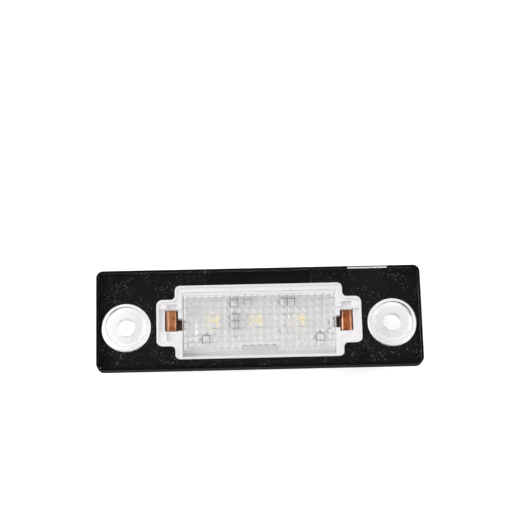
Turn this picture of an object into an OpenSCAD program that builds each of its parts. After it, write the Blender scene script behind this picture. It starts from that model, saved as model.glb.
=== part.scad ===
// Number plate lamp: a clear front plate with two screw cups and a prism
// window, a black foam gasket behind it, and a white box that holds the
// circuit board, three small lamps and two copper contact springs.
// Millimetres. X runs along the lamp, Y across it, +Z out of the window.
// The origin is midway between the two screw holes, on the seating plane.

/* [Front plate] */
// Length of the clear front plate
plate_l = 94; // [92:0.5:100]
// Width of the clear front plate
plate_w = 29.2; // [28.4:0.2:34]
// Thickness of the clear front plate
plate_t = 2.5; // [2:0.1:3.5]
// Corner radius of the plate
corner_r = 2; // [1:0.1:3]
// How far the plate's middle lies above the line of the screw holes
plate_mid_y = 1.9; // [1.6:0.05:2.2]
// Bevel on the plate's front edges
edge_bevel = 0.1; // [0.1:0.05:0.4]

/* [Screw cups] */
// Distance between the two screw holes
hole_pitch = 77; // [76:0.5:78]
// Diameter of a screw hole
hole_d = 5.3; // [4:0.1:6]
// Radius of a cup at its rim
cup_rim_r = 5.8; // [5.6:0.05:6.2]
// Radius of a cup at its floor
cup_floor_r = 5.1; // [4.8:0.05:5.2]
// Thickness of a cup's floor, which the screw clamps
cup_floor_t = 3.3; // [2.6:0.1:3.4]

/* [Gasket] */
// Thickness of the black gasket behind the plate
gasket_t = 2; // [1.5:0.1:2.4]
// Thickness of the lip that stands round the plate's edge
lip_t = 0.5; // [0.4:0.05:0.8]
// Width of the thin clear ribs that stand in the gasket's joints
rib_t = 0.3; // [0.2:0.05:0.5]

/* [Light window] */
// Half length of the window's tall middle part
win_half_l = 24.4; // [24.2:0.1:24.6]
// Lower edge of the tall middle part
win_low = -9.75; // [-9.9:0.05:-9.6]
// Upper edge of the tall middle part
win_high = 12.1; // [12:0.1:12.4]
// Half length over the two side pockets
tab_half_l = 29.8; // [29.6:0.1:30]
// Lower edge of the side pockets
tab_low = -5.85; // [-6:0.05:-5.7]
// Upper edge of the side pockets
tab_high = 8; // [7.8:0.05:8.2]

/* [Prisms] */
// Distance between two columns of prisms
prism_dx = 2.06; // [1.9:0.01:2.08]
// Distance between two rows of prisms
prism_dy = 2.09; // [1.9:0.01:2.1]
// Number of whole columns
prism_cols = 20; // [16:1:20]
// Number of whole rows
prism_rows = 7; // [5:1:7]
// Depth of a prism
prism_h = 0.56; // [0.2:0.02:0.7]
// Width of the flat line between two prisms
prism_land = 0.19; // [0.05:0.01:0.3]
// How far the prism block stands behind the plate
block_t = 0.8; // [0.5:0.1:0.9]

/* [Box] */
// Depth of the white box behind the seating plane
box_depth = 11; // [10.8:0.1:14]
// Thickness of the box's walls
wall_t = 0.87; // [0.8:0.01:1]
// Thickness of the box's floor
floor_t = 1.2; // [1:0.1:1.4]

/* [Circuit board] */
// Height of the board's front face
board_z = -2.6; // [-2.8:0.05:-2.5]
// Thickness of the board
board_t = 1; // [0.8:0.1:1.2]
// Distance between two lamps
lamp_pitch = 12.7; // [12.4:0.05:13]
// Height of the row of lamps
lamp_y = 1.9; // [1.4:0.1:2.4]

/* [Contact springs] */
// Thickness of the copper strip
strip_t = 0.4; // [0.3:0.05:0.4]
// Width of a spring's bowed crown
crown_w = 5.9; // [5.6:0.1:6.2]
// Width of the tongue, the run and the blade
tongue_w = 2.8; // [2.4:0.1:3]

/* [Hidden] */
$fn = 96;

z_in = gasket_t;                 // the plate's rear face
z_out = gasket_t + plate_t;      // the plate's front face
film = 0.05;                     // glue film behind the plate
eps = 0.01;
x_edge = plate_l / 2;
y_edge0 = plate_mid_y - plate_w / 2;
y_edge1 = plate_mid_y + plate_w / 2;

top_joint_x = 15.4;              // the gasket's joints above the window
low_joint_l = -19;               // and below it, left and right
low_joint_r = 18.9;
rib_h = 0.6;                     // height of the ribs that stand in them
joint_w = rib_t + 0.12;          // the groove that takes a rib
butt_w = 0.06;                   // the joint behind it
groove_z = gasket_t - rib_h - 0.1;

prism_mid_x = 0.04;
prism_y0 = -7.04;
prism_side = 1.25;               // width of the narrow columns at the two ends
prism_top = 1.5;                 // and of the narrow row at the top
gap = 0.05;                      // between the plate's edge and the lip
edge_x0 = 26;                    // where the lip leaves the plate's upper edge bare
edge_x1 = 37.5;
block_z = z_in - block_t;        // the block's rear face
block_run = 0.12;                // draft of its sides
block_x0 = -22.1;
block_x1 = 22.1;
block_y0 = -7.7;
block_y1 = 9.93;
notch_x0 = -4.88;                // the gap in the block's lower edge
notch_x1 = 4.92;
notch_y = prism_y0 + 1.09;

z_rear = -box_depth;
z_floor = z_rear + floor_t;
z_rim = 1;                       // where the wall thins towards its rim
part_x0 = 22.4;                  // the cross walls beside the board
part_x1 = 23.8;
pocket_face = 26.87;             // the thick end wall of a side pocket
socket_y = 1.1;                  // the connector's middle
socket_hx = 5.9;
socket_hy = 2.9;
socket_roof = -5.65;
blade_x = 3;

board_l = 44.1;
board_low = -8.55;
board_top = 9.1;
board_mid_y = (board_low + board_top) / 2;
board_w = board_top - board_low;
peg_x = 19.6;
peg_y = board_top - 1.25;

run_z = -4.4;                    // middle of the strip's run under the board
leg_x = 26.85;                   // middle of its outer leg
crown_r = 1.45;
crown_z = -2.1;
crown_y_left = 2.07;
crown_y_right = 1.25;
shelf_z = 0.6;                   // the shelf round a spring's crown
ledge_z = 1.6;                   // the wide ledges round the prism block
step_z = 1;                      // and the narrow step under its edges

black = [0.10, 0.09, 0.09];
clear = [0.90, 0.93, 0.94, 0.40];
white = [0.93, 0.92, 0.92];
copper = [0.72, 0.43, 0.26];

// ---------- outlines ----------

function unit(v) = v / norm(v);

// Points of a round corner at p, between its neighbours a and b
function corner(a, p, b, r, n) =
    let (u = unit(a - p), v = unit(b - p),
         half = acos(max(-1, min(1, u * v))) / 2,
         c = p + unit(u + v) * r / sin(half),
         t0 = p + u * r / tan(half) - c,
         t1 = p + v * r / tan(half) - c,
         a0 = atan2(t0[1], t0[0]),
         a1 = atan2(t1[1], t1[0]),
         raw = a1 - a0,
         turn = raw > 180 ? raw - 360 : raw < -180 ? raw + 360 : raw)
    [for (i = [0:n]) c + r * [cos(a0 + turn * i / n), sin(a0 + turn * i / n)]];

// A closed outline from [x, y, radius] corners
function outline(c, n = 7) =
    [for (i = [0:len(c) - 1])
        let (a = c[(i + len(c) - 1) % len(c)], p = c[i], b = c[(i + 1) % len(c)])
        each (p[2] > 0
            ? corner([a[0], a[1]], [p[0], p[1]], [b[0], b[1]], p[2], n)
            : [[p[0], p[1]]])];

// An open path with its inner corners rounded, from [x, y, radius] points
function bent(c, n = 5) =
    [for (i = [0:len(c) - 1])
        each (i > 0 && i < len(c) - 1 && c[i][2] > 0
            ? corner([c[i-1][0], c[i-1][1]], [c[i][0], c[i][1]],
                     [c[i+1][0], c[i+1][1]], c[i][2], n)
            : [[c[i][0], c[i][1]]])];

// The normal of a path at its point i, stretched at a corner so that the
// strip keeps its thickness
function path_normal(p, i) =
    let (d0 = unit(i == 0 ? p[1] - p[0] : p[i] - p[i-1]),
         d1 = unit(i == len(p) - 1 ? p[i] - p[i-1] : p[i+1] - p[i]),
         m = unit(d0 + d1))
    [-m[1], m[0]] / (m * d0);

// The section of a strip of thickness t along a path
function strip(p, t) = concat(
    [for (i = [0:len(p) - 1]) p[i] + path_normal(p, i) * t / 2],
    [for (i = [len(p) - 1:-1:0]) p[i] - path_normal(p, i) * t / 2]);

function box_outline(x0, x1, y0, y1, r) =
    outline([[x0, y0, r], [x1, y0, r], [x1, y1, r], [x0, y1, r]]);

// The window's outline, drawn in by g: a tall middle with a pocket each side
function window(g) = let (o = 1.5 - g * 0.6, i = 1.2 + g * 0.6)
    outline([
        [-win_half_l + g, win_low + g, o], [win_half_l - g, win_low + g, o],
        [win_half_l - g, tab_low + g, i], [tab_half_l - g, tab_low + g, o + 0.3],
        [tab_half_l - g, tab_high - g, o + 0.3], [win_half_l - g, tab_high - g, i],
        [win_half_l - g, win_high - g, o], [-win_half_l + g, win_high - g, o],
        [-win_half_l + g, tab_high - g, i], [-tab_half_l + g, tab_high - g, o + 0.3],
        [-tab_half_l + g, tab_low + g, o + 0.3], [-win_half_l + g, tab_low + g, i]]);

// ---------- building blocks ----------

// A straight bar with its section given as [y, z] points
module along_x(pts, x0, x1)
    translate([x0, 0, 0]) rotate([90, 0, 90]) linear_extrude(x1 - x0) polygon(pts);

// A straight bar with its section given as [x, z] points
module along_y(pts, y0, y1)
    translate([0, y1, 0]) rotate([90, 0, 0]) linear_extrude(y1 - y0) polygon(pts);

module slab(pts, z0, z1)
    translate([0, 0, z0]) linear_extrude(z1 - z0) polygon(pts);

module block(x0, x1, y0, y1, z0, z1)
    translate([x0, y0, z0]) cube([x1 - x0, y1 - y0, z1 - z0]);

// ---------- lens ----------

// The flat plate, with its front edges lightly bevelled
module plate() {
    b = edge_bevel;
    // a stretch of the upper edge reaches right out, past the end of the lip
    block(edge_x0, edge_x1, y_edge1 - 1, y_edge1 - 0.03, z_in, z_out - b);
    x1 = x_edge - lip_t - gap;
    y0 = y_edge0 + lip_t + gap;
    y1 = y_edge1 - lip_t - gap;
    intersection() {
        slab(box_outline(-x1, x1, y0, y1, corner_r - lip_t), z_in, z_out);
        along_x([[y0 - 1, z_in - 1], [y1 + 1, z_in - 1],
                 [y1 + 1, z_out - b - 1], [y1 - b, z_out],
                 [y0 + b, z_out], [y0 - 1, z_out - b - 1]], -x1 - 1, x1 + 1);
        along_y([[-x1 - 1, z_in - 1], [x1 + 1, z_in - 1],
                 [x1 + 1, z_out - b - 1], [x1 - b, z_out],
                 [-x1 + b, z_out], [-x1 - 1, z_out - b - 1]], y0 - 1, y1 + 1);
    }
}

// The hollow of a screw cup: a bevelled rim, a cone and a filleted floor
module cup_hollow() {
    rotate_extrude() polygon(concat(
        [[0, cup_floor_t]],
        corner([0, cup_floor_t], [cup_floor_r, cup_floor_t],
               [cup_rim_r, z_out], 0.6, 6),
        [[cup_rim_r - 0.14 * (cup_rim_r - cup_floor_r) / (z_out - cup_floor_t),
          z_out - 0.14],
         [cup_rim_r + 0.07, z_out + eps], [0, z_out + eps]]));
}

// A row of ridges between the given lines, as [across, height] triangles that
// start a little behind the block's rear face and leave a flat line between them
module ridges(lines) for (i = [0:len(lines) - 2]) {
    a = lines[i] + prism_land / 2;
    b = lines[i + 1] - prism_land / 2;
    k = prism_h * 2 / (prism_dx - prism_land);
    polygon([[a - 0.03 / k, block_z - 0.03], [b + 0.03 / k, block_z - 0.03],
             [(a + b) / 2, block_z + k * (b - a) / 2]]);
}

// The prism field: where two crossing sets of ridges meet, each cell is a
// four-sided pyramid, which is cut out of the block's rear face
module prism_dents() {
    x0 = prism_mid_x - prism_cols * prism_dx / 2;
    x1 = prism_mid_x + prism_cols * prism_dx / 2;
    y1 = prism_y0 + prism_rows * prism_dy;
    lines_x = concat([x0 - prism_side], [for (i = [0:prism_cols]) x0 + i * prism_dx],
                     [x1 + prism_side]);
    lines_y = concat([for (i = [0:prism_rows]) prism_y0 + i * prism_dy], [y1 + prism_top]);
    intersection() {
        translate([0, y1 + prism_top, 0]) rotate([90, 0, 0])
            linear_extrude(y1 + prism_top - prism_y0) ridges(lines_x);
        translate([x0 - prism_side, 0, 0]) rotate([90, 0, 90])
            linear_extrude(x1 - x0 + 2 * prism_side) ridges(lines_y);
    }
}

// The raised block behind the plate that carries the prisms, with a gap in
// its lower edge
module prism_block() {
    r = block_run;
    up = z_in + 0.2;
    k = r * 0.2 / block_t;
    difference() {
        intersection() {
            along_y([[block_x0, block_z], [block_x1, block_z],
                     [block_x1 + r + k, up], [block_x0 - r - k, up]],
                    block_y0 - 3, block_y1 + 3);
            along_x([[block_y0, block_z], [block_y1, block_z],
                     [block_y1 + r + k, up], [block_y0 - r - k, up]],
                    block_x0 - 3, block_x1 + 3);
            slab(box_outline(block_x0 - r, block_x1 + r, block_y0 - r, block_y1 + r, 0.9),
                 block_z - 1, up + 1);
        }
        prism_dents();
        along_y([[notch_x0 - 1.5 * r, block_z - 0.4], [notch_x1 + 1.5 * r, block_z - 0.4],
                 [notch_x1, z_in], [notch_x0, z_in]], block_y0 - 3, notch_y);
    }
}

module gasket_rib(x, y0, y1)
    block(x - rib_t / 2, x + rib_t / 2, y0, y1, z_in - rib_h, z_in + 0.2);

module lens() color(clear) {
    difference() {
        union() {
            plate();
            for (s = [-1, 1]) translate([s * hole_pitch / 2, 0, 0])
                cylinder(r = 6.9, h = z_in + 0.2);
        }
        for (s = [-1, 1]) translate([s * hole_pitch / 2, 0, 0]) {
            cup_hollow();
            translate([0, 0, -1]) cylinder(d = hole_d, h = cup_floor_t + 2);
        }
    }
    prism_block();
    for (s = [-1, 1]) gasket_rib(s * top_joint_x, win_high + 0.1, y_edge1 - lip_t - 0.3);
    for (x = [low_joint_l, low_joint_r])
        gasket_rib(x, y_edge0 + lip_t + 0.3, win_low - 0.1);
}

// ---------- gasket ----------

// The gasket before it is cut into four pieces: a sheet with a thin lip that
// stands round the plate's edge
module gasket_sheet() difference() {
    slab(box_outline(-x_edge, x_edge, y_edge0, y_edge1, corner_r), 0, z_out - 0.1);
    slab(box_outline(-x_edge + lip_t, x_edge - lip_t, y_edge0 + lip_t,
                     y_edge1 - lip_t, corner_r - lip_t), gasket_t - film, z_out + 1);
    slab(window(0), -1, gasket_t + 1);
    for (s = [-1, 1]) translate([s * hole_pitch / 2, 0, -1])
        cylinder(r = 7.15, h = gasket_t + 2);
}

// What lies beyond x on one side of the plate, y0 to y1, stepped so that the
// piece leaves a groove for a rib but meets its neighbour behind it and in the lip
module beyond(x, y0, y1) {
    far = x_edge + 5;
    block(x + joint_w / 2, far, y0, y1, -2, 8);
    block(x + butt_w / 2, far, y0, y1, -2, groove_z);
    block(x + butt_w / 2, far, y_edge1 - lip_t, y_edge1 + 1, -2, 8);
    block(x + butt_w / 2, far, y_edge0 - 1, y_edge0 + lip_t, -2, 8);
}

module gasket_end(s, low_joint) color(black) intersection() {
    gasket_sheet();
    scale([s, 1, 1]) union() {
        intersection() {
            beyond(top_joint_x, board_mid_y - 0.1, 30);
            block(0, 60, board_mid_y - 0.1, 30, -3, 9);
        }
        intersection() {
            beyond(abs(low_joint), -30, board_mid_y);
            block(0, 60, -30, board_mid_y, -3, 9);
        }
    }
}

module gasket_left_end() gasket_end(-1, low_joint_l);

// The right piece leaves a stretch of the plate's upper edge bare
module gasket_right_end() difference() {
    gasket_end(1, low_joint_r);
    block(edge_x0 - 0.05, edge_x1 + 0.05, y_edge1 - 0.38, y_edge1 + 1, -1, z_out + 1);
    block(edge_x0 - 0.05, edge_x1 + 0.05, y_edge1 - lip_t - 0.1, y_edge1 + 1,
          gasket_t - film, z_out + 1);
}

// A strip between two joints, from y0 to y1
module gasket_strip(xa, xb, y0, y1) color(black) intersection() {
    gasket_sheet();
    difference() {
        block(xa + butt_w / 2, xb - butt_w / 2, y0, y1, -2, 8);
        for (x = [xa, xb])
            block(x - joint_w / 2, x + joint_w / 2, y_edge0 + lip_t, y_edge1 - lip_t,
                  groove_z, 9);
    }
}

module gasket_top_strip() gasket_strip(-top_joint_x, top_joint_x, win_high - 0.5, 30);
module gasket_bottom_strip() gasket_strip(low_joint_l, low_joint_r, -30, win_low + 0.5);

// ---------- housing ----------

// The slot that a spring stands in, and the shallow recess beside its leg
module spring_slot(s, y) scale([s, 1, 1]) {
    block(leg_x - 2 * crown_r - 0.45, leg_x + strip_t / 2 + 0.3, y - crown_w / 2 - 0.35,
          y + crown_w / 2 + 0.12, -5.2, z_rim + 1);
    block(leg_x, tab_half_l - 0.75, y - crown_w / 2 - 0.45, y + crown_w / 2 + 0.2,
          0.9, z_rim + 1);
}

module housing() color(white) difference() {
    union() {
        difference() {
            slab(window(0.1), z_rear, z_in - film);
            slab(window(0.1 + wall_t), z_floor, z_rim + eps);
            slab(window(0.1 + 0.62), z_rim, z_in + 1);
        }
        intersection() {
            slab(window(0.4), z_floor - 0.2, ledge_z);
            union() {
                // cross walls between the middle and the side pockets
                for (s = [-1, 1]) scale([s, 1, 1])
                    block(part_x0, tab_half_l, -30, 30, -30, 30);
                // a wide ledge above the board, level with the cross walls
                block(-part_x1, part_x1, block_y1 + block_run + 0.05, 30, -30, 30);
            }
        }
        // a narrow step along the board's two ends and its upper edge
        for (s = [-1, 1]) scale([s, 1, 1])
            block(board_l / 2 + 0.1, part_x0 + 0.1, win_low + 0.5, win_high - 0.5,
                  z_floor - 0.2, step_z);
        block(-part_x1, part_x1, board_top + 0.12, win_high - 0.5, z_floor - 0.2, step_z);
        // ledges under the board, with the pegs that locate it
        for (s = [-1, 1]) {
            for (x = [-peg_x, 0, peg_x])
                block(x - 2, x + 2, s > 0 ? win_high - 4.5 : win_low + 0.5,
                      s > 0 ? win_high - 0.5 : win_low + 3,
                      z_floor - 0.2, board_z - board_t);
            // posts under the strips of the two springs
            block(s * 14 - 0.6, s * 14 + 0.6, socket_y - 2, socket_y + 2,
                  z_floor - 0.2, run_z - strip_t / 2);
        }
        for (s = [-1, 1]) translate([s * peg_x, peg_y, board_z - board_t - 0.2])
            cylinder(r = 0.75, h = board_t + 0.6);
        // connector socket
        block(-socket_hx - 1.1, socket_hx + 1.1, socket_y - socket_hy - 1.1,
              socket_y + socket_hy + 1.1, z_floor - 0.2, run_z - strip_t / 2 - 0.05);
    }
    for (s = [-1, 1]) scale([s, 1, 1]) {
        // a cross wall's lower middle, and the slot in it for the tongue
        block(part_x0 - 1, part_x1 + 0.2, -3.1, 5, shelf_z, z_rim + 1);
        block(part_x0 - 1, part_x1, socket_y - tongue_w / 2 - 0.75,
              socket_y + tongue_w / 2 + 0.12, -5.2, z_rim + 1);
        // the hollow round a spring, down to its shelf
        block(part_x1, pocket_face, -4.15, 6.6, shelf_z, z_rim + 1);
        // cores that thin the side pocket from behind
        block(24.7, 28.6, tab_low + 1.1, -2.95, z_rear - 1, shelf_z - 1.4);
        block(24.7, 28.6, -1.7, tab_high - 1.2, z_rear - 1, -6.3);
    }
    spring_slot(-1, crown_y_left);
    spring_slot(1, crown_y_right);
    // the socket's mouth, with a keyway, and the slots for its two blades
    block(-socket_hx, socket_hx, socket_y - socket_hy, socket_y + socket_hy,
          z_rear - 1, socket_roof);
    block(-1, 1, socket_y + socket_hy - 0.1, socket_y + socket_hy + 0.6,
          z_rear - 1, z_rear + 3);
    for (s = [-1, 1])
        block(s * blade_x - strip_t / 2 - 0.05, s * blade_x + strip_t / 2 + 0.05,
              socket_y - tongue_w / 2 - 0.05, socket_y + tongue_w / 2 + 0.05,
              socket_roof - 1, 0);
}

// ---------- circuit board and its components ----------

module led_board() color([0.92, 0.92, 0.90]) difference() {
    slab(box_outline(-board_l / 2, board_l / 2, board_mid_y - board_w / 2,
                     board_mid_y + board_w / 2, 0.8), board_z - board_t, board_z);
    for (s = [-1, 1]) translate([s * peg_x, peg_y, board_z - board_t - 1])
        cylinder(r = 0.85, h = board_t + 2);
}

function lamp_x(i) = -0.34 + i * lamp_pitch;
lamp_h = 1.4;

// A tapered well, from half sizes x and y at its foot
module well(x, y, h) linear_extrude(h, scale = 1.12)
    polygon(box_outline(-x, x, -y, y, 0.4));

// A small lamp's body: a white tray with one clipped corner and a wide well
module lamp_body(i) color([0.95, 0.95, 0.93])
    translate([lamp_x(i), lamp_y, board_z]) difference() {
        linear_extrude(lamp_h) polygon([[-1.4, -1.75], [1.4, -1.75], [1.4, 1.75],
                                        [-0.9, 1.75], [-1.4, 1.25]]);
        translate([0, 0, 0.6]) well(1.02, 1.32, lamp_h - 0.6 + eps);
    }

// The yellow fill in the well
module lamp_fill(i) color([0.93, 0.83, 0.40])
    translate([lamp_x(i), lamp_y, board_z + 0.6]) well(0.99, 1.29, 0.74);

module led_left() lamp_body(-1);
module led_middle() lamp_body(0);
module led_right() lamp_body(1);
module phosphor_left() lamp_fill(-1);
module phosphor_middle() lamp_fill(0);
module phosphor_right() lamp_fill(1);

// Position, turn, length, width and height of each component
chips = [[-15.45, -3.2, 0, 3.2, 2.5, 0.6],
         [17.75, -3.3, 0, 3.2, 2.5, 0.6],
         [8.75, 7.65, 0, 5.0, 2.5, 0.6],
         [8.1, -1.1, 0, 2.0, 1.25, 0.55],
         [-6.65, 1.93, 90, 4.7, 2.4, 1.1],
         [-3.0, 7.6, 0, 3.2, 1.6, 1.0],
         [-7.15, 7.45, 0, 3.2, 2.5, 0.6]];

// A chip: its body with a slightly prouder cap at each end
module chip(i, shade) color(shade)
    translate([chips[i][0], chips[i][1], board_z]) rotate([0, 0, chips[i][2]]) {
        l = chips[i][3];
        w = chips[i][4];
        h = chips[i][5];
        block(-l / 2 + 0.2, l / 2 - 0.2, -w / 2 + 0.03, w / 2 - 0.03, 0.03, h - 0.03);
        for (s = [-1, 1]) scale([s, 1, 1]) block(l / 2 - 0.4, l / 2, -w / 2, w / 2, 0, h);
    }

module resistor_1() chip(0, [0.12, 0.12, 0.13]);
module resistor_2() chip(1, [0.12, 0.12, 0.13]);
module resistor_3() chip(2, [0.12, 0.12, 0.13]);
module resistor_4() chip(3, [0.12, 0.12, 0.13]);
module resistor_5() chip(6, [0.12, 0.12, 0.13]);
module capacitor() chip(5, [0.45, 0.36, 0.26]);

// The diode: a bevelled block with a flat lead folded under each end
module protection_diode() color([0.12, 0.12, 0.13])
    translate([chips[4][0], chips[4][1], board_z]) rotate([0, 0, 90]) {
        l = chips[4][3] / 2;
        along_y([[-l + 0.1, 0.15], [l - 0.1, 0.15], [l, 0.6], [l - 0.1, 1.1],
                 [-l + 0.1, 1.1], [-l, 0.6]], -chips[4][4] / 2, chips[4][4] / 2);
        for (s = [-1, 1]) scale([s, 1, 1]) {
            block(l - 0.9, l + 0.19, -0.6, 0.6, 0, 0.16);
            block(l - 0.01, l + 0.19, -0.6, 0.6, 0, 0.65);
        }
    }

// Solder at each chip's ends and on the two tongues
module solder_joints() color([0.75, 0.76, 0.78]) {
    for (c = chips) translate([c[0], c[1], board_z]) rotate([0, 0, c[2]])
        for (s = [-1, 1]) scale([s, 1, 1]) {
            e = c[3] / 2 + (c[2] == 90 ? 0.19 : 0);
            w = c[2] == 90 ? 1.2 : c[4];
            along_y([[e, 0], [e + 0.35, 0], [e + 0.16, 0.12], [e, 0.36]],
                    -w / 2 + 0.05, w / 2 - 0.05);
        }
    for (i = [-1:1]) translate([lamp_x(i), lamp_y, board_z]) rotate([0, 0, 90])
        for (s = [-1, 1]) scale([s, 1, 1])
            along_y([[1.75, 0], [2.1, 0], [1.9, 0.12], [1.75, 0.3]], -0.8, 0.8);
    for (s = [-1, 1]) scale([s, 1, 1])
        along_y([[20.7, board_z], [21.3, board_z], [21.3, board_z + strip_t],
                 [21.05, board_z + 0.2]], socket_y - 1.3, socket_y + 1.3);
}

// ---------- contact springs ----------

// The whole strip, from the blade in the socket, along the run and up the
// outer leg, over the crown to the tongue on the board, as [x, z]
crown_line = bent([[leg_x, crown_z - 0.2], [leg_x, crown_z + crown_r - 0.06, 0.7],
                   [leg_x - crown_r, crown_z + crown_r + 0.04, 6],
                   [leg_x - 2 * crown_r, crown_z + crown_r - 0.06, 0.7],
                   [leg_x - 2 * crown_r - 0.08, crown_z - 0.16]], 7);
spring_path = concat(
    bent([[blade_x, z_rear + 0.9], [blade_x, run_z, 0.3], [leg_x, run_z, 0.6],
          [leg_x, crown_z - 0.9]]),
    crown_line,
    [[leg_x - 2 * crown_r - 0.45, board_z + strip_t / 2],
     [21.3, board_z + strip_t / 2]]);
crown_path = concat([[leg_x, run_z + 0.9]], crown_line);

// crown_y is the middle of the crown, which the strip is bent a little from
module contact(s, crown_y) color(copper) scale([s, 1, 1]) {
    along_y(strip(spring_path, strip_t), socket_y - tongue_w / 2,
            socket_y + tongue_w / 2);
    along_y(strip(crown_path, strip_t), crown_y - crown_w / 2, crown_y + crown_w / 2);
}

module contact_left() contact(-1, crown_y_left);
module contact_right() contact(1, crown_y_right);

lens();
gasket_left_end();
gasket_right_end();
gasket_top_strip();
gasket_bottom_strip();
housing();
led_board();
led_left();
led_middle();
led_right();
phosphor_left();
phosphor_middle();
phosphor_right();
resistor_1();
resistor_2();
resistor_3();
resistor_4();
resistor_5();
protection_diode();
capacitor();
contact_left();
contact_right();
solder_joints();
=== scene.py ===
import math
import random

import bmesh
import bpy
from mathutils import Matrix, Vector

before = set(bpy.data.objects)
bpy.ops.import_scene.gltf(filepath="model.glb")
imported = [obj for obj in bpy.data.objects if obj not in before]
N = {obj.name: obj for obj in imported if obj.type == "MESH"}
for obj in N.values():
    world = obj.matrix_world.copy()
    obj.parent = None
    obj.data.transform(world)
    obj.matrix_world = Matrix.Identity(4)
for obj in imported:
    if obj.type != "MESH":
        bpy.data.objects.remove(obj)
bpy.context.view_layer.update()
MM = 0.001
random.seed(7)
scene = bpy.context.scene

Z_FLOOR = -11.02  # just under the lamp's back, in mm

# ---------------------------------------------------------------- camera
# The view that the photograph was taken from: 434 mm in front of the plate,
# tipped about 12 degrees towards its lower edge.


def rot(rx, ry, rz):
    rx, ry, rz = math.radians(rx), math.radians(ry), math.radians(rz)
    return (
        Matrix.Rotation(rz, 3, "Z") @ Matrix.Rotation(rx, 3, "X") @ Matrix.Rotation(ry, 3, "Y")
    )


R = rot(-14.061, 1.068, 1.491)
T = Vector((0.935, -20.535, -442.427))
cam_data = bpy.data.cameras.new("camera")
cam_data.lens = 106.938
cam_data.sensor_width = 36.0
cam_data.sensor_fit = "HORIZONTAL"
cam_data.clip_start = 0.01
cam_data.clip_end = 20.0
cam = bpy.data.objects.new("camera", cam_data)
scene.collection.objects.link(cam)
place = R.transposed().to_4x4()
place.translation = (R.transposed() @ -T) * MM
cam.matrix_world = place
scene.camera = cam

# ---------------------------------------------------------------- materials


class Mat:
    """A node-based material with one Principled shader."""

    def __init__(self, name):
        self.m = bpy.data.materials.new(name)
        self.m.use_nodes = True
        self.nt = self.m.node_tree
        self.nt.nodes.clear()
        self.out = self.nt.nodes.new("ShaderNodeOutputMaterial")
        self.p = self.nt.nodes.new("ShaderNodeBsdfPrincipled")
        self.nt.links.new(self.p.outputs[0], self.out.inputs[0])
        tc = self.nt.nodes.new("ShaderNodeTexCoord")
        self.at = tc.outputs["Object"]

    def new(self, kind):
        return self.nt.nodes.new(kind)

    def link(self, a, b):
        self.nt.links.new(a, b)

    def set(self, **values):
        names = {
            "base": "Base Color", "rough": "Roughness", "metal": "Metallic",
            "ior": "IOR", "trans": "Transmission Weight", "spec": "Specular IOR Level",
            "coat": "Coat Weight", "coat_rough": "Coat Roughness",
            "emit": "Emission Color", "emit_power": "Emission Strength",
            "sss": "Subsurface Weight", "sss_scale": "Subsurface Scale",
        }
        for k, v in values.items():
            s = self.p.inputs[names[k]]
            s.default_value = (*v, 1.0) if isinstance(v, tuple) else v
        return self

    def noise(self, scale, detail=2.0, rough=0.5, stretch=None, offset=(0, 0, 0)):
        at = self.at
        if stretch or any(offset):
            m = self.new("ShaderNodeMapping")
            m.inputs["Location"].default_value = offset
            m.inputs["Scale"].default_value = stretch or (1, 1, 1)
            self.link(at, m.inputs[0])
            at = m.outputs[0]
        n = self.new("ShaderNodeTexNoise")
        n.inputs["Scale"].default_value = scale
        n.inputs["Detail"].default_value = detail
        n.inputs["Roughness"].default_value = rough
        self.link(at, n.inputs["Vector"])
        return n.outputs["Fac"]

    def cells(self, scale, feature="F1", stretch=None, jitter=1.0):
        at = self.at
        if stretch:
            m = self.new("ShaderNodeMapping")
            m.inputs["Scale"].default_value = stretch
            self.link(at, m.inputs[0])
            at = m.outputs[0]
        n = self.new("ShaderNodeTexVoronoi")
        n.feature = feature
        n.inputs["Scale"].default_value = scale
        n.inputs["Randomness"].default_value = jitter
        self.link(at, n.inputs["Vector"])
        return n.outputs["Distance"]

    def span(self, fac, lo, hi, a, b):
        """fac from lo..hi to a..b, held at the ends."""
        n = self.new("ShaderNodeMapRange")
        n.inputs["From Min"].default_value = lo
        n.inputs["From Max"].default_value = hi
        n.inputs["To Min"].default_value = a
        n.inputs["To Max"].default_value = b
        self.link(fac, n.inputs["Value"])
        return n.outputs["Result"]

    def math(self, op, a, b):
        n = self.new("ShaderNodeMath")
        n.operation = op
        for i, v in enumerate((a, b)):
            if isinstance(v, (int, float)):
                n.inputs[i].default_value = v
            else:
                self.link(v, n.inputs[i])
        return n.outputs[0]

    def mix(self, fac, a, b):
        n = self.new("ShaderNodeMix")
        n.data_type = "RGBA"
        if isinstance(fac, (int, float)):
            n.inputs[0].default_value = fac
        else:
            self.link(fac, n.inputs[0])
        for i, v in ((6, a), (7, b)):
            if isinstance(v, tuple):
                n.inputs[i].default_value = (*v, 1.0)
            else:
                self.link(v, n.inputs[i])
        return n.outputs[2]

    def color(self, socket):
        self.link(socket, self.p.inputs["Base Color"])

    def rough(self, socket):
        self.link(socket, self.p.inputs["Roughness"])

    def bump(self, height, strength, distance):
        n = self.new("ShaderNodeBump")
        n.inputs["Strength"].default_value = strength
        n.inputs["Distance"].default_value = distance
        self.link(height, n.inputs["Height"])
        self.link(n.outputs[0], self.p.inputs["Normal"])


def clear_plastic():
    m = Mat("clear_plastic")
    m.set(base=(0.965, 0.967, 0.97), trans=1.0, ior=1.585, rough=0.0)
    haze = m.noise(900, 4, 0.6)
    fine = m.noise(9000, 2, 0.5)
    m.rough(m.math("ADD", m.span(haze, 0.35, 0.75, 0.0, 0.03), m.span(fine, 0.6, 0.8, 0.0, 0.02)))
    m.bump(m.noise(260, 2, 0.5), 0.05, 0.0002)
    return m.m


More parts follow.
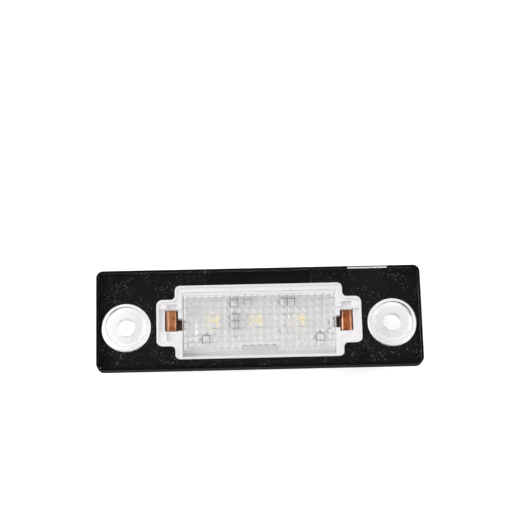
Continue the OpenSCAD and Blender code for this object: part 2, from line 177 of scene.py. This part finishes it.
def cup_plastic():
    """The floors and cones of the screw cups: clear, with a light moulding haze."""
    m = Mat("cup_plastic")
    m.set(base=(0.90, 0.885, 0.89), trans=1.0, ior=1.585, rough=0.0)
    m.rough(m.span(m.noise(900, 4, 0.6), 0.35, 0.75, 0.01, 0.05))
    m.bump(m.noise(420, 2, 0.5), 0.06, 0.0002)
    return m.m


def facet_plastic():
    """The prism facets: the same plastic, etched so that they glow a little."""
    m = Mat("facet_plastic")
    m.set(base=(0.88, 0.87, 0.87), trans=0.5, ior=1.585, spec=0.3)
    m.rough(m.span(m.noise(1800, 3, 0.6), 0.3, 0.7, 0.03, 0.07))
    return m.m


def land_plastic():
    """The flat lines between the prisms: clear, a little greyer than the plate."""
    m = Mat("land_plastic")
    m.set(base=(0.97, 0.965, 0.965), trans=0.78, ior=1.585, spec=0.3)
    m.rough(m.span(m.noise(1800, 3, 0.6), 0.3, 0.7, 0.02, 0.06))
    return m.m


def slope_plastic():
    """The block's four low sides, with a fine moulded grain."""
    m = Mat("slope_plastic")
    m.set(base=(0.70, 0.70, 0.70), trans=0.60, ior=1.585, spec=0.3)
    m.rough(m.span(m.noise(1800, 3, 0.6), 0.3, 0.7, 0.25, 0.38))
    return m.m


def edge_painted_shade_plastic():
    """The walls of the gap in the block's lower edge: cut edges, painted near-black as painted shade."""
    m = Mat("edge_painted_shade_plastic")
    m.set(trans=0.5, ior=1.1, spec=0.0)
    m.color(m.mix(m.noise(900, 3, 0.6), (0.015, 0.015, 0.015), (0.04, 0.04, 0.04)))
    m.rough(m.span(m.noise(1800, 3, 0.6), 0.3, 0.7, 0.25, 0.4))
    return m.m


def hole_plastic():
    """The walls of the two screw holes, with a fine grain."""
    m = Mat("hole_plastic")
    m.set(base=(0.90, 0.90, 0.90), trans=0.5, ior=1.585, spec=0.3)
    m.rough(m.span(m.noise(1800, 3, 0.6), 0.3, 0.7, 0.3, 0.45))
    return m.m


def dull_painted_shade_plastic():
    """Cut edges and gasket ribs: rough, and painted dark as painted shade from the black foam round them."""
    m = Mat("dull_painted_shade_plastic")
    m.set(trans=0.6, ior=1.585, spec=0.1)
    m.color(m.mix(m.noise(900, 3, 0.6), (0.02, 0.02, 0.02), (0.07, 0.07, 0.07)))
    m.rough(m.span(m.noise(1800, 3, 0.6), 0.3, 0.7, 0.35, 0.5))
    return m.m


def rim_painted_shade_plastic():
    """The plate's bevelled rim, with a painted dark reflection of the foam lip round it in its colour."""
    m = Mat("rim_painted_shade_plastic")
    m.set(trans=0.5, ior=1.1, spec=0.0)
    m.color(m.mix(m.noise(900, 3, 0.6), (0.004, 0.004, 0.004), (0.012, 0.012, 0.012)))
    m.rough(m.span(m.noise(1800, 3, 0.6), 0.3, 0.7, 0.45, 0.6))
    return m.m


def foam_black(name="foam_black", dust_and_shade=1.0):
    m = Mat(name)
    m.set(rough=0.85, spec=0.1)
    broad = m.noise(120, 3, 0.6)
    # Below 1 the second argument also darkens the black base itself: painted shade, besides less dust
    base = m.mix(m.span(broad, 0.3, 0.7, 0, 1), tuple(c * (0.4 + 0.6 * dust_and_shade) for c in (0.0028, 0.0021, 0.0022)),
                 tuple(c * (0.4 + 0.6 * dust_and_shade) for c in (0.0062, 0.0046, 0.0049)))
    # fine pale dust and lint
    dust = m.span(m.cells(1700), 0.12, 0.26, 1.0, 0.0)
    patch = m.span(m.noise(300, 3, 0.6, offset=(3, 1, 0)), 0.44, 0.62, 0.0, 1.0)
    speck = m.math("MULTIPLY", dust, patch)
    lint = m.span(m.noise(2600, 4, 0.75, offset=(7, 2, 0)), 0.60, 0.72, 0.0, 1.0)
    base = m.mix(m.math("MULTIPLY", lint, 0.35 * dust_and_shade), base, (0.10, 0.097, 0.094))
    m.color(m.mix(m.math("MULTIPLY", speck, dust_and_shade), base, (0.22, 0.215, 0.21)))
    m.bump(m.noise(5200, 3, 0.6), 0.35, 0.00008)
    return m.m


def white_plastic():
    m = Mat("white_plastic")
    m.set(rough=0.42, spec=0.45)
    tone = m.noise(70, 3, 0.5)
    m.color(m.mix(m.span(tone, 0.3, 0.7, 0, 1), (0.86, 0.845, 0.86), (0.91, 0.895, 0.91)))
    m.rough(m.span(m.noise(700, 3, 0.6), 0.3, 0.7, 0.34, 0.52))
    m.bump(m.noise(2600, 3, 0.55), 0.12, 0.00005)
    return m.m


def board_mask():
    m = Mat("board_mask")
    m.set(rough=0.35, spec=0.5)
    tone = m.noise(160, 2, 0.5)
    m.color(m.mix(m.span(tone, 0.3, 0.7, 0, 1), (0.60, 0.595, 0.59), (0.66, 0.655, 0.65)))
    # the weave of the glass cloth under the coating
    weave = m.math("ADD", m.noise(1500, 1, 0.4, stretch=(6, 1, 1)), m.noise(1500, 1, 0.4, stretch=(1, 6, 1)))
    m.bump(weave, 0.12, 0.00004)
    m.rough(m.span(m.noise(900, 2, 0.5), 0.3, 0.7, 0.3, 0.42))
    return m.m


def copper_strip(name="copper_strip", light=(0.92, 0.50, 0.31), dark=(0.62, 0.27, 0.13), rough=(0.24, 0.42), metal=0.55,
                 highlight_bands=()):
    """Tarnished copper. The stretches of |x|, in mm, given in the last argument get a painted highlight."""
    m = Mat(name)
    m.set(metal=metal)
    grain = m.noise(700, 3, 0.6, stretch=(1, 9, 1))
    stain = m.noise(800, 5, 0.75, offset=(1, 2, 3))
    tone = m.mix(m.span(grain, 0.3, 0.7, 0, 1), light, tuple(0.86 * c for c in light))
    color = m.mix(m.span(stain, 0.42, 0.58, 0, 1), tone, dark)
    if highlight_bands:
        xyz = m.new("ShaderNodeSeparateXYZ")
        m.link(m.at, xyz.inputs[0])
        across = m.math("ABSOLUTE", xyz.outputs[0], 0)
        patchy = m.span(m.noise(1500, 4, 0.7, offset=(5, 1, 2)), 0.35, 0.6, 0.35, 1.0)
        # Painted highlight: a bright, patchy copper colour across each listed stretch
        for a, b in highlight_bands:
            band = m.math("MULTIPLY", m.span(across, (a - 0.25) * MM, (a + 0.1) * MM, 0, 1),
                          m.span(across, (b - 0.1) * MM, (b + 0.25) * MM, 1, 0))
            color = m.mix(m.math("MULTIPLY", band, patchy), color, (1.0, 0.57, 0.35))
    m.color(color)
    m.rough(m.span(stain, 0.3, 0.7, rough[0], rough[1]))
    m.bump(grain, 0.2, 0.00004)
    return m.m


def lamp_white():
    m = Mat("lamp_white")
    m.set(rough=0.3, spec=0.5)
    m.color(m.mix(m.noise(1400, 2, 0.5), (0.86, 0.86, 0.84), (0.93, 0.93, 0.91)))
    m.bump(m.noise(6000, 2, 0.5), 0.1, 0.00003)
    return m.m


def phosphor():
    m = Mat("phosphor")
    m.set(rough=0.22, spec=0.5)
    grain = m.noise(9000, 3, 0.7)
    m.color(m.mix(m.span(grain, 0.3, 0.7, 0, 1), (0.92, 0.72, 0.16), (0.96, 0.83, 0.30)))
    m.bump(m.noise(1600, 1, 0.5), 0.15, 0.00005)
    return m.m


def chip_body(name, a, b):
    m = Mat(name)
    m.set(rough=0.4, spec=0.5)
    m.color(m.mix(m.noise(3000, 3, 0.6), a, b))
    m.bump(m.noise(7000, 3, 0.6), 0.25, 0.00004)
    return m.m


def tin(name="tin"):
    m = Mat(name)
    m.set(metal=1.0)
    flow = m.noise(2400, 3, 0.6)
    m.color(m.mix(m.span(flow, 0.3, 0.7, 0, 1), (0.40, 0.40, 0.41), (0.54, 0.54, 0.55)))
    m.rough(m.span(flow, 0.3, 0.7, 0.45, 0.62))
    m.bump(flow, 0.3, 0.00005)
    return m.m


M_CLEAR = clear_plastic()
M_FACET = facet_plastic()
M_SLOPE = slope_plastic()
M_LAND = land_plastic()
M_DULL_PAINTED_SHADE = dull_painted_shade_plastic()
M_EDGE_PAINTED_SHADE = edge_painted_shade_plastic()
M_HOLE = hole_plastic()
M_RIM_PAINTED_SHADE = rim_painted_shade_plastic()
M_CUP = cup_plastic()
M_FOAM = foam_black()
# Foam with less dust and a base darkened by painted shade, for the top strip and the outer lip faces
M_FOAM_LESS_DUST_SHADED = foam_black("foam_less_dust_painted_shade", 0.1)
M_WHITE = white_plastic()
M_BOARD = board_mask()
# The listed bright stretches are painted highlights where the lamps glint on the crowns
M_COPPER_L = copper_strip("copper_left", (0.95, 0.40, 0.18), (0.34, 0.095, 0.03),
                          highlight_bands=((26.2, 26.95), (23.9, 24.2)))
M_COPPER_R = copper_strip("copper_right", (0.70, 0.22, 0.075), (0.30, 0.075, 0.022),
                          highlight_bands=((26.45, 27.1), (23.8, 24.35)))
# Painted shade: near-black copper for the contact tongues, which lie in shadow under the walls
M_COPPER_SHADE = copper_strip("copper_painted_shade", (0.08, 0.036, 0.022), (0.028, 0.014, 0.010), (0.4, 0.55))
M_LAMP = lamp_white()
M_PHOS = phosphor()
M_CHIP = chip_body("chip_black", (0.025, 0.025, 0.027), (0.05, 0.05, 0.053))
M_BROWN = chip_body("chip_brown", (0.20, 0.165, 0.13), (0.27, 0.23, 0.19))
M_TIN = tin()


def dress(name, *mats):
    """Gives a CAD node its materials and smooth shading inside each face."""
    me = N[name].data
    me.materials.clear()
    for m in mats:
        me.materials.append(m)
    me.polygons.foreach_set("use_smooth", [True] * len(me.polygons))
    me.set_sharp_from_angle(angle=math.radians(24))
    return me


def by_face(name, rule):
    me = N[name].data
    for f in me.polygons:
        f.material_index = rule(f.center / MM, f.normal)


def lens_face(c, n):
    """0 clear, 1 prism facets, 2 the block's sides, 3 gasket ribs, 4 lands,
    5 the walls of the gap in the block's lower edge, 6 the screw holes' walls,
    7 the plate's rim, 8 the screw cups."""
    from_hole = math.hypot(abs(c.x) - 38.5, c.y)
    if abs(n.z) < 0.1 and from_hole < 2.9:
        return 6
    if from_hole < 6.0 and c.z < 4.49:
        return 8
    if abs(c.x) < 5.2 and -7.9 < c.y < -5.9 and 1.21 < c.z < 1.99 and abs(n.z) < 0.3:
        return 5
    if abs(c.x) < 22.0 and -7.6 < c.y < 9.8 and 1.15 < c.z < 1.9:
        return 1 if n.z > -0.99 else 4
    if abs(c.x) < 22.4 and -8.0 < c.y < 10.2 and 1.15 < c.z < 2.0:
        return 2 if abs(n.z) < 0.9 else 0
    if 1.39 < c.z < 1.99 and (c.y > 12.15 or c.y < -9.8):
        return 3
    if 25.9 < c.x < 37.6 and c.y > 16:
        return 0
    side = abs(c.x) > 46.3 or c.y > 15.8 or c.y < -12.0
    return 7 if side and abs(n.z) < 0.9 else 0


dress("lens", M_CLEAR, M_FACET, M_SLOPE, M_DULL_PAINTED_SHADE, M_LAND, M_EDGE_PAINTED_SHADE, M_HOLE, M_RIM_PAINTED_SHADE, M_CUP)
by_face("lens", lens_face)
for n in ("gasket_left_end", "gasket_right_end", "gasket_bottom_strip"):
    dress(n, M_FOAM, M_FOAM_LESS_DUST_SHADED)
dress("gasket_top_strip", M_FOAM_LESS_DUST_SHADED)
for n in ("gasket_left_end", "gasket_right_end", "gasket_bottom_strip"):
    by_face(n, lambda c, _: 1 if abs(c.x) > 46.2 or c.y > 15.7 or c.y < -11.9 else 0)
dress("housing", M_WHITE)
dress("led_board", M_BOARD)
for n in ("led_left", "led_middle", "led_right"):
    dress(n, M_LAMP)
for n in ("phosphor_left", "phosphor_middle", "phosphor_right"):
    dress(n, M_PHOS)
# The tongues, inward of |x| 24.1 mm and above z -3.5 mm, get the copper with painted shade
for n, copper in (("contact_left", M_COPPER_L), ("contact_right", M_COPPER_R)):
    dress(n, copper, M_COPPER_SHADE)
    by_face(n, lambda c, _: 1 if abs(c.x) < 24.1 and c.z > -3.5 else 0)
dress("solder_joints", M_TIN)

# Middle and length of each chip
CHIPS = {
    "resistor_1": (-15.45, 3.2), "resistor_2": (17.75, 3.2), "resistor_3": (8.75, 5.0),
    "resistor_4": (8.1, 2.0), "resistor_5": (-7.15, 3.2), "capacitor": (-3.0, 3.2),
}
for n, (cx, length) in CHIPS.items():
    dress(n, M_BROWN if n == "capacitor" else M_CHIP, M_TIN)
    by_face(n, lambda c, _, cx=cx, length=length: 1 if abs(c.x - cx) > length / 2 - 0.41 else 0)
dress("protection_diode", M_CHIP, M_TIN)
by_face("protection_diode", lambda c, _: 1 if abs(c.y - 1.93) > 2.36 or c.z < -2.44 else 0)

# The lens lets lamps and bounced light straight through to what is behind it
lens = N["lens"]
lens.visible_shadow = False
lens.visible_diffuse = False

# ---------------------------------------------------------------- stage

bpy.ops.mesh.primitive_plane_add(size=16.0, location=(0, 0, Z_FLOOR * MM))
floor = bpy.context.object
floor.name = "floor"
fm = Mat("floor_paper")
fm.set(rough=0.9, spec=0.1, emit=(1.0, 1.0, 1.0), emit_power=0.52)
fm.color(fm.mix(fm.noise(30, 3, 0.5), (0.78, 0.78, 0.78), (0.80, 0.80, 0.80)))
floor.data.materials.append(fm.m)

world = bpy.data.worlds.new("world")
scene.world = world
world.use_nodes = True
bg = world.node_tree.nodes["Background"]
bg.inputs[0].default_value = (1.0, 1.0, 1.0, 1.0)
bg.inputs[1].default_value = 0.022


def area(name, at, to, size, power, size_y=None, color=(1, 1, 1)):
    d = bpy.data.lights.new(name, "AREA")
    d.shape = "RECTANGLE"
    d.size = size
    d.size_y = size_y or size
    d.energy = power
    d.color = color
    o = bpy.data.objects.new(name, d)
    scene.collection.objects.link(o)
    o.location = at
    o.rotation_euler = (Vector(to) - Vector(at)).to_track_quat("-Z", "Y").to_euler()
    return o


area("soft_left", (-0.75, 0.25, 0.60), (0, 0, 0), 0.7, 9.0)
area("soft_right", (0.80, -0.05, 0.60), (0, 0, 0), 0.7, 5.3)
area("soft_front", (0.0, -0.75, 0.55), (0, 0, 0), 0.8, 3.3)
area("soft_back", (0.0, 0.95, 0.50), (0, 0, 0), 0.8, 5.0)

scene.view_settings.view_transform = "Standard"
scene.view_settings.look = "None"
scene.view_settings.exposure = 0.0
scene.view_settings.gamma = 1.0
